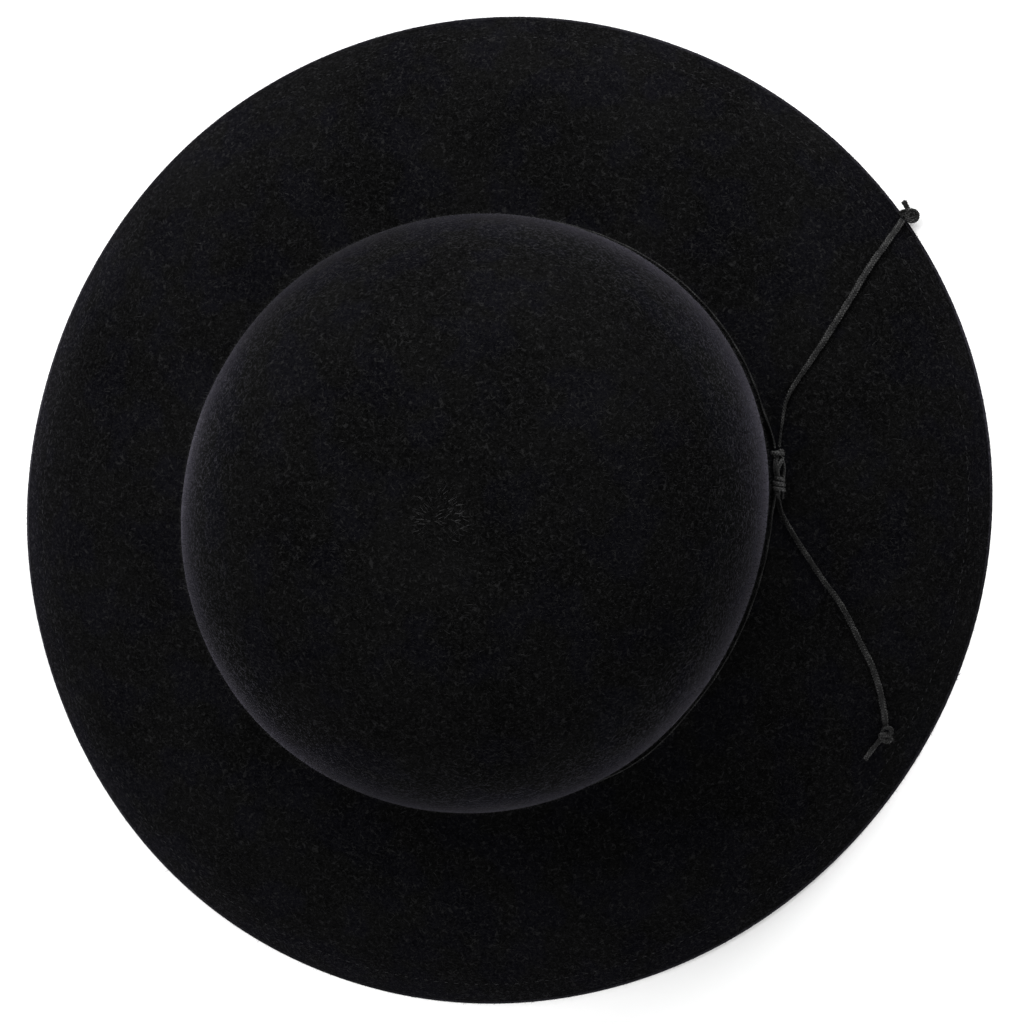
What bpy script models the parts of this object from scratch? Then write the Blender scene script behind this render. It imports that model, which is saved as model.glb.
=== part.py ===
# Floppy hat of black wool felt, with a braided cord tied round its crown.
# Metres, +Z up. The brim's edge rests on the plane z = 0, and the origin is the middle of the brim there.
# +X points to the side where the cord is tied.

import bpy
import bmesh
from math import ceil, cos, hypot, pi, radians, sin, tan
from mathutils import Vector

# Felt
HEAD_CIRCUMFERENCE = 0.576
FELT_THICKNESS = 0.0022
LONG_AXIS = radians(60)
CROWN_LONGER = 0.0094
CROWN_HEIGHT = 0.103
CROWN_BULGE = 0.0023
CROWN_FULLNESS = 2.9
BREAK_RADIUS = 0.0015

# Brim, measured in plan from the break to the edge
BRIM_WIDTH = 0.0712
BRIM_LONGER = 0.0103
BRIM_DROP = 0.034
BRIM_SLOPE_AT_BREAK = radians(12)
BRIM_SLOPE_AT_EDGE = radians(53)

# Cord
CORD_DIAMETER = 0.0019
CORD_GAP = 0.0003

# How finely the round forms are cut
HAT_SEGMENTS = 60
CROWN_RINGS = 12
BREAK_RINGS = 2
BRIM_RINGS = 12
EDGE_CROWDING = 0.8
BAND_POINTS = 72
KNOT_SIDES = 12
KNOT_RINGS = 13
ROD_SIDES = 8
STRAND_SPANS = 6
TIP_SPANS = 3
TUBE_BEVEL_SEGMENTS = 2
POINT_SPACING = 2.4
TAIL_SAMPLES = 600
SLOPE_PROBE = 0.01
SHARP_ANGLE = radians(40)

# How the outlines swell besides their oval: waves round the hat, share of the crown's mean radius
# or of the brim's width, direction
CROWN_SWELLS = (
    (3, 0.0055, radians(36)),
    (4, 0.0043, radians(32)),
)
BRIM_SWELLS = (
    (1, 0.0140, radians(-73)),
    (3, 0.0112, radians(9)),
)

# Soft waves of the brim: direction, half width, rise of its middle, lift of its edge,
# the last two as shares of the brim's drop
BRIM_WAVES = (
    (radians(84), radians(19), 0.045, 0.050),
    (radians(129), radians(18), 0.040, 0.030),
    (radians(182), radians(22), 0.050, 0.060),
    (radians(231), radians(24), 0.040, 0.040),
    (radians(302), radians(24), 0.025, 0.045),
    (radians(352), radians(26), -0.040, 0.0),
    (radians(32), radians(22), -0.030, 0.0),
)

# The tied knot: directions of its two ends, and how far out it lies as a share of the brim's width
KNOT_TOP = radians(12.2)
KNOT_FOOT = radians(2.7)
KNOT_SHARE = 0.037

# Parts of the tied knot along its length: middle and half length as shares of it, width in cord
# diameters, wraps
KNOT_BEADS = (
    (0.39, 0.11, 2.3, 1),
    (-0.30, 0.20, 1.95, 3),
)
KNOT_GROOVE = 0.16

# The two strands between its beads: distance from the middle line and outward bow, both in cord diameters
KNOT_STRANDS = (-0.55, 0.55)
KNOT_STRAND_BOW = 0.35
KNOT_STRAND_DIAMETER = 0.0015

# Where the cord round the crown stands off the wall: direction, half width, share of the brim's width
BAND_SLACK = (
    (KNOT_TOP, radians(9), 0.020),
    (KNOT_FOOT, radians(4), 0.008),
    (radians(302), radians(16), 0.016),
)

# Free ends of the cord, from the tied knot to the middle of the end knot: direction round the crown
# and share of the brim's width, above 1 where it is past the edge
UPPER_ROUTE = (
    (KNOT_TOP, 0.055),
    (radians(16.0), 0.076),
    (radians(20.2), 0.120),
    (radians(23.3), 0.220),
    (radians(27.7), 0.427),
    (radians(31.0), 0.616),
    (radians(32.8), 0.736),
    (radians(34.7), 0.910),
    (radians(35.9), 1.025),
)
LOWER_ROUTE = (
    (KNOT_FOOT, 0.042),
    (radians(0.4), 0.050),
    (radians(-2.0), 0.072),
    (radians(-6.5), 0.150),
    (radians(-11.2), 0.265),
    (radians(-14.5), 0.372),
    (radians(-19.2), 0.511),
    (radians(-22.1), 0.610),
    (radians(-24.8), 0.695),
    (radians(-27.4), 0.765),
    (radians(-29.6), 0.815),
)

# End knots: length and width in cord diameters, wraps, and where the short end past each comes out
END_KNOT_LENGTH = 2.2
END_KNOT_WIDTH = 2.5
END_KNOT_WRAPS = 2
UPPER_TIP = (radians(37.2), 1.034)
LOWER_TIP = (radians(-33.8), 0.804)

# Mean outside radius of the crown at the break
CROWN_RADIUS = HEAD_CIRCUMFERENCE / (2 * pi) + FELT_THICKNESS


def window(direction, middle, half_width):
    """1 in the middle direction, falling smoothly to 0 at half_width on both sides."""
    away = (direction - middle + pi) % (2 * pi) - pi
    if abs(away) >= half_width:
        return 0.0
    return cos(pi / 2 * away / half_width) ** 2


def outline(direction, mean, longer, swells, swelling):
    """Radius of an oval outline that is longer one way, with swells that are shares of a size."""
    radius = mean + longer / 4 * cos(2 * (direction - LONG_AXIS))
    for waves, share, towards in swells:
        radius += share * swelling * cos(waves * (direction - towards))
    return radius


def crown_radius(direction):
    """Outside radius of the crown at the break."""
    return outline(direction, CROWN_RADIUS, CROWN_LONGER, CROWN_SWELLS, CROWN_RADIUS)


def brim_radius(direction):
    """Radius of the brim's edge, about the crown's axis."""
    return outline(direction, CROWN_RADIUS + BRIM_WIDTH, BRIM_LONGER, BRIM_SWELLS, BRIM_WIDTH)


def plan_centre():
    """Place of the crown's axis that puts the middle of the brim's box at the origin."""
    directions = [2 * pi * i / HAT_SEGMENTS for i in range(HAT_SEGMENTS)]
    xs = [brim_radius(a) * cos(a) for a in directions]
    ys = [brim_radius(a) * sin(a) for a in directions]
    return Vector((-(min(xs) + max(xs)) / 2, -(min(ys) + max(ys)) / 2, 0.0))


CROWN_AXIS = plan_centre()


def place(direction, radius, height):
    """Point at a radius and a height in a direction from the crown's axis."""
    return CROWN_AXIS + Vector((radius * cos(direction), radius * sin(direction), height))


def brim_start(direction):
    """Radius where the brim begins, at the foot of the break's fillet."""
    return crown_radius(direction) + BREAK_RADIUS * (1 - sin(BRIM_SLOPE_AT_BREAK))


def brim_height(direction, share):
    """Height of the brim's upper face: a bell that falls faster and faster, with soft waves."""
    straight = BRIM_WIDTH * tan(BRIM_SLOPE_AT_BREAK) / BRIM_DROP
    power = (BRIM_WIDTH * tan(BRIM_SLOPE_AT_EDGE) / BRIM_DROP - straight) / (1 - straight)
    height = BRIM_DROP * (1 - straight * share - (1 - straight) * share ** power)
    for middle, half_width, rise, lift in BRIM_WAVES:
        here = window(direction, middle, half_width)
        height += here * BRIM_DROP * (rise * sin(pi * share) ** 2 + lift * share ** 4)
    return height


def brim_place(direction, share):
    """Point on the brim's upper face."""
    start = brim_start(direction)
    radius = start + (brim_radius(direction) - start) * share
    return place(direction, radius, brim_height(direction, share))


def lay(direction, share, clearance):
    """Point at a clearance above the brim, or above the surface that the hat stands on past its edge."""
    if share >= 1:
        radius = brim_start(direction) + (brim_radius(direction) - brim_start(direction)) * share
        return place(direction, radius, clearance)
    outer = brim_place(direction, min(share + SLOPE_PROBE, 1))
    across = outer - brim_place(direction, max(share - SLOPE_PROBE, 0))
    along = brim_place(direction + SLOPE_PROBE, share) - brim_place(direction - SLOPE_PROBE, share)
    point = brim_place(direction, share) + across.cross(along).normalized() * clearance
    point.z = max(point.z, clearance)
    return point


def outer_section(direction):
    """Outside of the felt in one direction, from beside the tip to the edge, as radius and height."""
    foot = BRIM_DROP + BREAK_RADIUS * cos(BRIM_SLOPE_AT_BREAK)
    base = crown_radius(direction)
    section = []
    for ring in range(1, CROWN_RINGS + 1):
        turn = pi / 2 * (1 - ring / CROWN_RINGS)
        inward = cos(turn) ** (2 / CROWN_FULLNESS)
        upward = sin(turn) ** (2 / CROWN_FULLNESS)
        radius = (base + CROWN_BULGE * sin(pi * upward)) * inward
        section.append((radius, foot + CROWN_HEIGHT * upward))
    for ring in range(1, BREAK_RINGS + 1):
        turn = pi + (pi / 2 - BRIM_SLOPE_AT_BREAK) * ring / (BREAK_RINGS + 1)
        section.append((base + BREAK_RADIUS * (1 + cos(turn)), foot + BREAK_RADIUS * sin(turn)))
    start = brim_start(direction)
    for ring in range(BRIM_RINGS + 1):
        share = (ring / BRIM_RINGS) ** EDGE_CROWDING
        radius = start + (brim_radius(direction) - start) * share
        section.append((radius, brim_height(direction, share)))
    return section


def inner_section(section):
    """Inside of the felt: its outside moved in by the thickness, and cut level where the edge rests."""
    inner = []
    for index, (radius, height) in enumerate(section):
        radius_before, height_before = section[max(index - 1, 0)]
        radius_after, height_after = section[min(index + 1, len(section) - 1)]
        run = radius_after - radius_before
        rise = height_after - height_before
        length = hypot(run, rise)
        inner.append((radius + rise / length * FELT_THICKNESS, height - run / length * FELT_THICKNESS))
    edge_radius, edge_height = section[-1]
    inner[-1] = (edge_radius - FELT_THICKNESS / sin(BRIM_SLOPE_AT_EDGE), edge_height)
    return inner


def material(name, colour, roughness):
    made = bpy.data.materials.new(name)
    made.use_nodes = True
    shader = made.node_tree.nodes["Principled BSDF"]
    shader.inputs["Base Color"].default_value = (*colour, 1.0)
    shader.inputs["Roughness"].default_value = roughness
    shader.inputs["Metallic"].default_value = 0.0
    return made


def add_object(name, data, finish):
    made = bpy.data.objects.new(name, data)
    made.data.materials.append(finish)
    bpy.context.collection.objects.link(made)
    return made


def mesh_from(name, bm):
    bmesh.ops.recalc_face_normals(bm, faces=bm.faces[:])
    mesh = bpy.data.meshes.new(name)
    bm.to_mesh(mesh)
    bm.free()
    mesh.shade_smooth()
    mesh.set_sharp_from_angle(angle=SHARP_ANGLE)
    return mesh


def bridge(bm, ring, following):
    """Faces between two closed rings of as many vertices."""
    for i in range(len(ring)):
        j = (i + 1) % len(ring)
        bm.faces.new((ring[i], ring[j], following[j], following[i]))


def close(bm, ring, tip):
    """Triangles from a closed ring to a point."""
    for i in range(len(ring)):
        bm.faces.new((ring[i], ring[(i + 1) % len(ring)], tip))


def build_felt(finish):
    """Crown and brim, blocked from one piece of felt and open below."""
    directions = [2 * pi * i / HAT_SEGMENTS for i in range(HAT_SEGMENTS)]
    outer = [outer_section(a) for a in directions]
    inner = [inner_section(section) for section in outer]
    bm = bmesh.new()

    def rings_of(sections):
        return [
            [bm.verts.new(place(a, *section[k])) for a, section in zip(directions, sections)]
            for k in range(len(sections[0]))
        ]

    outside = rings_of(outer)
    inside = rings_of(inner)
    loop = outside + inside[::-1]
    for ring, following in zip(loop, loop[1:]):
        bridge(bm, ring, following)
    top = BRIM_DROP + BREAK_RADIUS * cos(BRIM_SLOPE_AT_BREAK) + CROWN_HEIGHT
    close(bm, outside[0], bm.verts.new(place(0, 0, top)))
    close(bm, inside[0], bm.verts.new(place(0, 0, top - FELT_THICKNESS)))
    return add_object("felt_body", mesh_from("felt_body", bm), finish)


def smooth(points, share):
    """Point at a share of the way along a smooth curve through the points."""
    spans = len(points) - 1
    span = min(int(share * spans), spans - 1)
    t = share * spans - span
    before = points[max(span - 1, 0)]
    here = points[span]
    there = points[span + 1]
    after = points[min(span + 2, spans)]
    return tuple(
        0.5 * (2 * b + (c - a) * t + (2 * a - 5 * b + 4 * c - d) * t * t + (3 * b - a - 3 * c + d) * t ** 3)
        for a, b, c, d in zip(before, here, there, after)
    )


def tube(name, points, diameter, finish, closed=False):
    """Round cord along the points."""
    curve = bpy.data.curves.new(name, "CURVE")
    curve.dimensions = "3D"
    curve.bevel_depth = diameter / 2
    curve.bevel_resolution = TUBE_BEVEL_SEGMENTS
    curve.use_fill_caps = True
    spline = curve.splines.new("POLY")
    spline.points.add(len(points) - 1)
    for point, target in zip(spline.points, points):
        point.co = (*target, 1.0)
    spline.use_cyclic_u = closed
    return add_object(name, curve, finish)


def knot_middle(route):
    """Middle of the end knot at the end of a route."""
    return lay(*route[-1], CORD_DIAMETER * END_KNOT_WIDTH / 2 + CORD_GAP)


def tail_points(route):
    """Points of a free end, laid over the brim from the tied knot to the face of its end knot."""
    clearance = CORD_DIAMETER / 2 + CORD_GAP
    fine = [lay(*smooth(route, i / TAIL_SAMPLES), clearance) for i in range(TAIL_SAMPLES + 1)]
    middle = knot_middle(route)
    reach = CORD_DIAMETER * max(END_KNOT_LENGTH, END_KNOT_WIDTH) / 2 + CORD_GAP
    kept = [p for p in fine if (p - middle).length >= reach and (p - fine[0]).length >= CORD_GAP]
    distances = [0.0]
    for before, after in zip(kept, kept[1:]):
        distances.append(distances[-1] + (after - before).length)
    count = ceil(distances[-1] / (POINT_SPACING * CORD_DIAMETER))
    points = []
    for i in range(count + 1):
        target = distances[-1] * i / count
        points.append(min(zip(distances, kept), key=lambda pair: abs(pair[0] - target))[1])
    return points


def band_point(direction):
    """Middle of the cord round the crown, lying in the break and off the wall where it is slack."""
    share = sum(amount * window(direction, middle, half) for middle, half, amount in BAND_SLACK)
    return lay(direction, share, CORD_DIAMETER / 2 + CORD_GAP)


def bead(bm, middle, axis, normal, half_length, half_width, wraps):
    """Closed bead with a groove between its wraps, added to a mesh."""
    side = axis.cross(normal).normalized()
    up = side.cross(axis).normalized()
    rings = []
    for k in range(1, KNOT_RINGS + 1):
        along = -cos(pi * k / (KNOT_RINGS + 1))
        groove = KNOT_GROOVE * sin(pi / 2 * wraps * (along + 1)) ** 2
        radius = half_width * (1 - along ** 4) ** 0.5 * (1 - KNOT_GROOVE + groove)
        rings.append([
            bm.verts.new(
                middle + axis * half_length * along
                + side * radius * cos(2 * pi * j / KNOT_SIDES) + up * radius * sin(2 * pi * j / KNOT_SIDES)
            )
            for j in range(KNOT_SIDES)
        ])
    for ring, following in zip(rings, rings[1:]):
        bridge(bm, ring, following)
    close(bm, rings[0], bm.verts.new(middle - axis * half_length))
    close(bm, rings[-1], bm.verts.new(middle + axis * half_length))


def fuse(target, addition):
    """Join a guide object to a piece as one solid."""
    addition.hide_render = True
    addition.display_type = "WIRE"
    joint = target.modifiers.new("fuse_" + addition.name, "BOOLEAN")
    joint.operation = "UNION"
    joint.solver = "EXACT"
    joint.object = addition


def bead_object(name, finish, *sizes):
    bm = bmesh.new()
    bead(bm, *sizes)
    return add_object(name, mesh_from(name, bm), finish)


def rod_object(name, finish, points, radius):
    """Closed rod of cord along the points, for a strand that is fused to a knot."""
    bm = bmesh.new()
    side = (points[1] - points[0]).orthogonal().normalized()
    rings = []
    for index, point in enumerate(points):
        along = (points[min(index + 1, len(points) - 1)] - points[max(index - 1, 0)]).normalized()
        side = (side - along * side.dot(along)).normalized()
        up = along.cross(side)
        turns = [2 * pi * j / ROD_SIDES for j in range(ROD_SIDES)]
        rings.append([bm.verts.new(point + (side * cos(turn) + up * sin(turn)) * radius) for turn in turns])
    for ring, following in zip(rings, rings[1:]):
        bridge(bm, ring, following)
    close(bm, rings[0], bm.verts.new(points[0]))
    close(bm, rings[-1], bm.verts.new(points[-1]))
    return add_object(name, mesh_from(name, bm), finish)


def build_slide_knot(finish):
    """Two beads of wound cord on a pair of strands that bow apart between them."""
    width = CORD_DIAMETER * max(row[2] for row in KNOT_BEADS)
    top = lay(KNOT_TOP, KNOT_SHARE, width / 2 + CORD_GAP)
    foot = lay(KNOT_FOOT, KNOT_SHARE, width / 2 + CORD_GAP)
    middle = (top + foot) / 2
    normal = (lay(KNOT_TOP, KNOT_SHARE, width) - lay(KNOT_TOP, KNOT_SHARE, 0)).normalized()
    length = (top - foot).length
    axis = (top - foot).normalized()
    outward = axis.cross(normal).normalized()
    beads = [
        (middle + axis * length * at, axis, normal, length * half, CORD_DIAMETER * across / 2, wraps)
        for at, half, across, wraps in KNOT_BEADS
    ]
    knot = bead_object("slide_knot", finish, *beads[0])
    for index, sizes in enumerate(beads[1:]):
        fuse(knot, bead_object("slide_knot_bead_%d" % index, finish, *sizes))
    strand_ends = (beads[0][0], beads[1][0])
    for index, side in enumerate(KNOT_STRANDS):
        points = []
        for k in range(STRAND_SPANS + 1):
            share = k / STRAND_SPANS
            bow = side * (1 + KNOT_STRAND_BOW * sin(pi * share) ** 2)
            points.append(strand_ends[0].lerp(strand_ends[1], share) + outward * bow * CORD_DIAMETER)
        fuse(knot, rod_object("slide_knot_strand_%d" % index, finish, points, KNOT_STRAND_DIAMETER / 2))


def build_end_knot(name, route, tip_at, finish):
    """Overhand knot with a short end of cord left past it."""
    middle = knot_middle(route)
    arrival = (middle - tail_points(route)[-1]).normalized()
    tip = lay(*tip_at, CORD_DIAMETER / 2 + CORD_GAP)
    short_end = [middle.lerp(tip, k / TIP_SPANS) for k in range(TIP_SPANS + 1)]
    normal = Vector((0, 0, 1))
    half_length = CORD_DIAMETER * END_KNOT_LENGTH / 2
    half_width = CORD_DIAMETER * END_KNOT_WIDTH / 2
    knot = bead_object(name, finish, middle, arrival, normal, half_length, half_width, END_KNOT_WRAPS)
    fuse(knot, rod_object(name + "_tip", finish, short_end, CORD_DIAMETER / 2))


def main():
    for old in list(bpy.data.objects):
        bpy.data.objects.remove(old, do_unlink=True)
    felt = material("black wool felt", (0.010, 0.010, 0.012), 0.95)
    cord = material("charcoal braided cord", (0.045, 0.045, 0.045), 0.6)
    build_felt(felt)
    turns = [KNOT_TOP + (KNOT_FOOT + 2 * pi - KNOT_TOP) * i / BAND_POINTS for i in range(BAND_POINTS + 1)]
    tube("band_cord", [band_point(a) for a in turns], CORD_DIAMETER, cord)
    build_slide_knot(cord)
    tube("upper_tail", tail_points(UPPER_ROUTE), CORD_DIAMETER, cord)
    tube("lower_tail", tail_points(LOWER_ROUTE), CORD_DIAMETER, cord)
    build_end_knot("upper_end_knot", UPPER_ROUTE, UPPER_TIP, cord)
    build_end_knot("lower_end_knot", LOWER_ROUTE, LOWER_TIP, cord)


main()
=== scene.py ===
# Floppy hat of black wool felt, with a flat braided cord tied round its crown.
# Metres, +Z up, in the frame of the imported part. +X points to the side where the cord is tied.

from math import cos, pi, radians, sin, sqrt, tan
from types import SimpleNamespace

import bpy
from mathutils import Matrix, Vector


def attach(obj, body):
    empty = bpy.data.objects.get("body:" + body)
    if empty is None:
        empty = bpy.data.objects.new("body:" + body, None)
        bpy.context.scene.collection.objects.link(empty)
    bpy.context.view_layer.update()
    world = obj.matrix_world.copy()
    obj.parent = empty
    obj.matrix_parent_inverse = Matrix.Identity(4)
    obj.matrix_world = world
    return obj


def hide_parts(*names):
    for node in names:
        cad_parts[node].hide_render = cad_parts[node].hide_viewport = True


# Sizes of the felt and the lie of the cord, as in the part's source
HEAD_CIRCUMFERENCE = 0.576
FELT_THICKNESS = 0.0022
LONG_AXIS = radians(60)
CROWN_LONGER = 0.0094
CROWN_HEIGHT = 0.103
CROWN_BULGE = 0.0023
CROWN_FULLNESS = 2.9
BREAK_RADIUS = 0.0015
BRIM_WIDTH = 0.0712
BRIM_LONGER = 0.0103
BRIM_DROP = 0.034
SLOPE_AT_BREAK = radians(12)
SLOPE_AT_EDGE = radians(53)
EDGE_CROWDING = 0.8
CORD_DIAMETER = 0.0019
CORD_GAP = 0.0003
SLOPE_PROBE = 0.01
HAT_SEGMENTS = 60

# Swells of the outlines: waves round the hat, share of the crown's radius or of the brim's width, direction
CROWN_SWELLS = ((3, 0.0055, radians(36)), (4, 0.0043, radians(32)))
BRIM_SWELLS = ((1, 0.0140, radians(-73)), (3, 0.0112, radians(9)))

# Soft waves of the brim: direction, half width, rise of its middle and lift of its edge as shares of its drop
BRIM_WAVES = (
    (radians(84), radians(19), 0.045, 0.050),
    (radians(129), radians(18), 0.040, 0.030),
    (radians(182), radians(22), 0.050, 0.060),
    (radians(231), radians(24), 0.040, 0.040),
    (radians(302), radians(24), 0.025, 0.045),
    (radians(352), radians(26), -0.040, 0.0),
    (radians(32), radians(22), -0.030, 0.0),
)

# The tied knot and the free ends: directions, and shares of the brim's width
KNOT_TOP = radians(12.2)
KNOT_FOOT = radians(2.7)
KNOT_SHARE = 0.037
KNOT_WIDTH = 2.3
BAND_SLACK = (
    (KNOT_TOP, radians(9), 0.020), (KNOT_FOOT, radians(4), 0.008), (radians(302), radians(16), 0.016),
)
UPPER_ROUTE = (
    (KNOT_TOP, 0.040), (radians(16.0), 0.070), (radians(20.2), 0.120), (radians(23.3), 0.220),
    (radians(27.7), 0.427), (radians(31.0), 0.616), (radians(32.8), 0.736), (radians(34.7), 0.910),
    (radians(35.9), 1.025),
)
LOWER_ROUTE = (
    (KNOT_FOOT, 0.024), (radians(0.4), 0.036), (radians(-2.0), 0.066), (radians(-6.5), 0.150),
    (radians(-11.2), 0.265), (radians(-14.5), 0.372), (radians(-19.2), 0.511), (radians(-22.1), 0.610),
    (radians(-24.8), 0.687), (radians(-27.4), 0.754), (radians(-29.6), 0.804),
)
END_KNOT_WIDTH = 2.5
UPPER_LENGTH = 0.0936
LOWER_LENGTH = 0.0871

# The cord itself is a flat braid
CORD_WIDTH = 0.0022
CORD_THICKNESS = 0.0011

# Camera: how far it leans from straight down towards +X and +Y, and where it aims
CAMERA_LEAN = (radians(7.503), radians(1.284))
CAMERA_AIM = Vector((0, 0, 0.040))
CAMERA_DISTANCE = 1.2
CAMERA_LENS = 129.25
CAMERA_SHIFT = (0.0248, 0.0026)

# Where the band turns in under the tied knot: how far past its foot, and how far out
TUCK = radians(3.2)
TUCK_SHARE = 0.018

# How finely the pieces are cut and the lines are followed
DIRECTIONS = 288
CROWN_ROWS = 56
BREAK_ROWS = 4
BRIM_ROWS = 40
ROW_PROBE = 0.05
BAND_STEPS = 720
TAIL_STEPS = 600
LINE_SPACING = 0.0012
STEPS_PER_TURN = 26
YARNS = 8
YARN_SIDES = 6
MILLIMETRE = 0.001

# Shares of the brim's width at which its finishes, its nap and its fuzz start and the stitches run
BRIM_FINISH_START = 0.0001
BRIM_NAP_START = 0.001
CUT_FINISH_START = 0.985
EDGE_FUZZ_START = 0.975
STITCH_LINE = 0.888
STITCH_CLEARANCE = 0.00002

# The tip's swirl of fibres lies beside the crown's axis
SWIRL_SHIFT = Vector((-0.0025, -0.0008, 0.0))

# Soft lights: place, height that it aims at, size and power
SOFTBOXES = {
    "key softbox": ((-1.45, 1.80, 2.5), 0.05, 1.8, 101),
    "right softbox": ((2.1, -0.2, 0.5), 0.09, 0.9, 13),
    "near softbox": ((-0.9, -2.2, 1.3), 0.05, 1.6, 42),
    "far softbox": ((0.1, 2.5, 1.0), 0.08, 1.4, 108),
}
ROOM_STRENGTH = 0.49
FLOOR_REACH = 40


class Socket:
    """Output of a node, which Python's operators turn into Math nodes."""

    def __init__(self, tree, node, output):
        self.tree = tree
        self.node = node
        usable = [socket for socket in node.outputs if socket.enabled]
        self.socket = next((s for i, s in enumerate(usable) if output in (i, s.name)), None)

    def math(self, operation, *others):
        return self.tree.math(operation, self, *others)

    def also(self, output):
        return Socket(self.tree, self.node, output)

    def __add__(self, other):
        return self.math("ADD", other)

    def __sub__(self, other):
        return self.math("SUBTRACT", other)

    def __rsub__(self, other):
        return self.tree.math("SUBTRACT", other, self)

    def __mul__(self, other):
        return self.math("MULTIPLY", other)

    def __truediv__(self, other):
        return self.math("DIVIDE", other)

    def __pow__(self, other):
        return self.math("POWER", other)


class Tree:
    """Adds nodes to a node tree, a material's or a geometry modifier's."""

    def __init__(self, node_tree):
        self.nodes = node_tree

    def make(self, kind, settings=None, sockets=None, output=0):
        """New node of a kind, with its settings first and then the values or links of its sockets."""
        node = self.nodes.nodes.new(kind)
        for name, value in (settings or {}).items():
            setattr(node, name, value)
        usable = [socket for socket in node.inputs if socket.enabled]
        for key, value in (sockets or {}).items():
            target = usable[key] if isinstance(key, int) else next(s for s in usable if s.name == key)
            self.feed(target, value)
        return Socket(self, node, output)

    def feed(self, target, value):
        for each in value if isinstance(value, list) else [value]:
            if isinstance(each, Socket):
                self.nodes.links.new(each.socket, target)
            else:
                target.default_value = each

    def math(self, operation, *operands):
        return self.make("ShaderNodeMath", {"operation": operation}, dict(enumerate(operands)))

    def vector(self, operation, *operands, output=0):
        return self.make("ShaderNodeVectorMath", {"operation": operation}, dict(enumerate(operands)), output)

    def point(self, x, y, z):
        return self.make("ShaderNodeCombineXYZ", None, {0: x, 1: y, 2: z})

    def random(self, least, most, seed, kind="FLOAT"):
        sockets = {"Min": least, "Max": most, "Seed": seed}
        return self.make("FunctionNodeRandomValue", {"data_type": kind}, sockets)

    def attribute(self, name, kind="FLOAT"):
        return self.make("GeometryNodeInputNamedAttribute", {"data_type": kind}, {"Name": name})

    def stored(self, geometry, name, value, domain="POINT"):
        """The geometry with a number kept on it under a name."""
        settings = {"data_type": "FLOAT", "domain": domain}
        sockets = {"Geometry": geometry, "Name": name, "Value": value}
        return self.make("GeometryNodeStoreNamedAttribute", settings, sockets)


def cosine(value):
    return value.math("COSINE") if isinstance(value, Socket) else cos(value)


def sine(value):
    return value.math("SINE") if isinstance(value, Socket) else sin(value)


def at_most(value, limit):
    return value.math("MINIMUM", limit) if isinstance(value, Socket) else min(value, limit)


def at_least(value, limit):
    return value.math("MAXIMUM", limit) if isinstance(value, Socket) else max(value, limit)


def half_turn_each_way(angle):
    """The same angle between minus and plus half a turn."""
    return angle.math("WRAP", pi, -pi) if isinstance(angle, Socket) else (angle + pi) % (2 * pi) - pi


# The shape of the felt. Each of these takes numbers, or the sockets of a geometry tree.

def window(direction, middle, half_width):
    """1 in the middle direction, falling smoothly to 0 at half_width on both sides."""
    away = half_turn_each_way(direction - middle)
    away = at_most(at_least(away, -half_width), half_width)
    return cosine(away * (pi / 2 / half_width)) ** 2


def outline(direction, mean, longer, swells, swelling):
    """Radius of an oval outline that is longer one way, with swells that are shares of a size."""
    radius = mean + cosine((direction - LONG_AXIS) * 2) * (longer / 4)
    for waves, share, towards in swells:
        radius = radius + cosine((direction - towards) * waves) * swelling * share
    return radius


def crown_radius(hat, direction):
    return outline(direction, hat.crown_radius, CROWN_LONGER, CROWN_SWELLS, hat.crown_radius)


def brim_radius(hat, direction):
    return outline(direction, hat.crown_radius + hat.brim_width, BRIM_LONGER, BRIM_SWELLS, hat.brim_width)


def brim_start(hat, direction):
    return crown_radius(hat, direction) + BREAK_RADIUS * (1 - sin(SLOPE_AT_BREAK))


def brim_height(hat, direction, share):
    """Height of the brim's upper face: a bell that falls faster and faster, with soft waves."""
    straight = hat.brim_width * tan(SLOPE_AT_BREAK) / hat.brim_drop
    power = (hat.brim_width * tan(SLOPE_AT_EDGE) / hat.brim_drop - straight) / (1 - straight)
    fallen = straight * share + (1 - straight) * share ** power
    middle = sine(share * pi) ** 2
    edge = share ** 4
    for towards, half_width, rise, lift in BRIM_WAVES:
        fallen = fallen - window(direction, towards, half_width) * (middle * rise + edge * lift)
    return hat.brim_drop * (1 - fallen)


def felt_section(hat, direction, row):
    """Outside of the felt as radius and height, at a row counted from the tip to the brim's edge."""
    foot = hat.brim_drop + BREAK_RADIUS * cos(SLOPE_AT_BREAK)
    base = crown_radius(hat, direction)
    turn = (1 - at_most(at_least(row, 0), CROWN_ROWS) / CROWN_ROWS) * (pi / 2)
    inward = cosine(turn) ** (2 / CROWN_FULLNESS)
    upward = sine(turn) ** (2 / CROWN_FULLNESS)
    fillet = at_most(at_least(row - CROWN_ROWS, 0), BREAK_ROWS) / BREAK_ROWS
    bend = fillet * (pi / 2 - SLOPE_AT_BREAK) + pi
    rows_out = at_most(at_least(row - CROWN_ROWS - BREAK_ROWS, 0), BRIM_ROWS)
    share = (rows_out / BRIM_ROWS) ** EDGE_CROWDING
    radius = (base + sine(upward * pi) * CROWN_BULGE) * inward + (cosine(bend) + 1) * BREAK_RADIUS
    radius = radius + (brim_radius(hat, direction) - brim_start(hat, direction)) * share
    height = foot + upward * hat.crown_height + sine(bend) * BREAK_RADIUS
    return radius, height + brim_height(hat, direction, share) - hat.brim_drop, share


HAT = SimpleNamespace(
    crown_radius=HEAD_CIRCUMFERENCE / (2 * pi) + FELT_THICKNESS,
    crown_height=CROWN_HEIGHT,
    brim_width=BRIM_WIDTH,
    brim_drop=BRIM_DROP,
)


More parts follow.
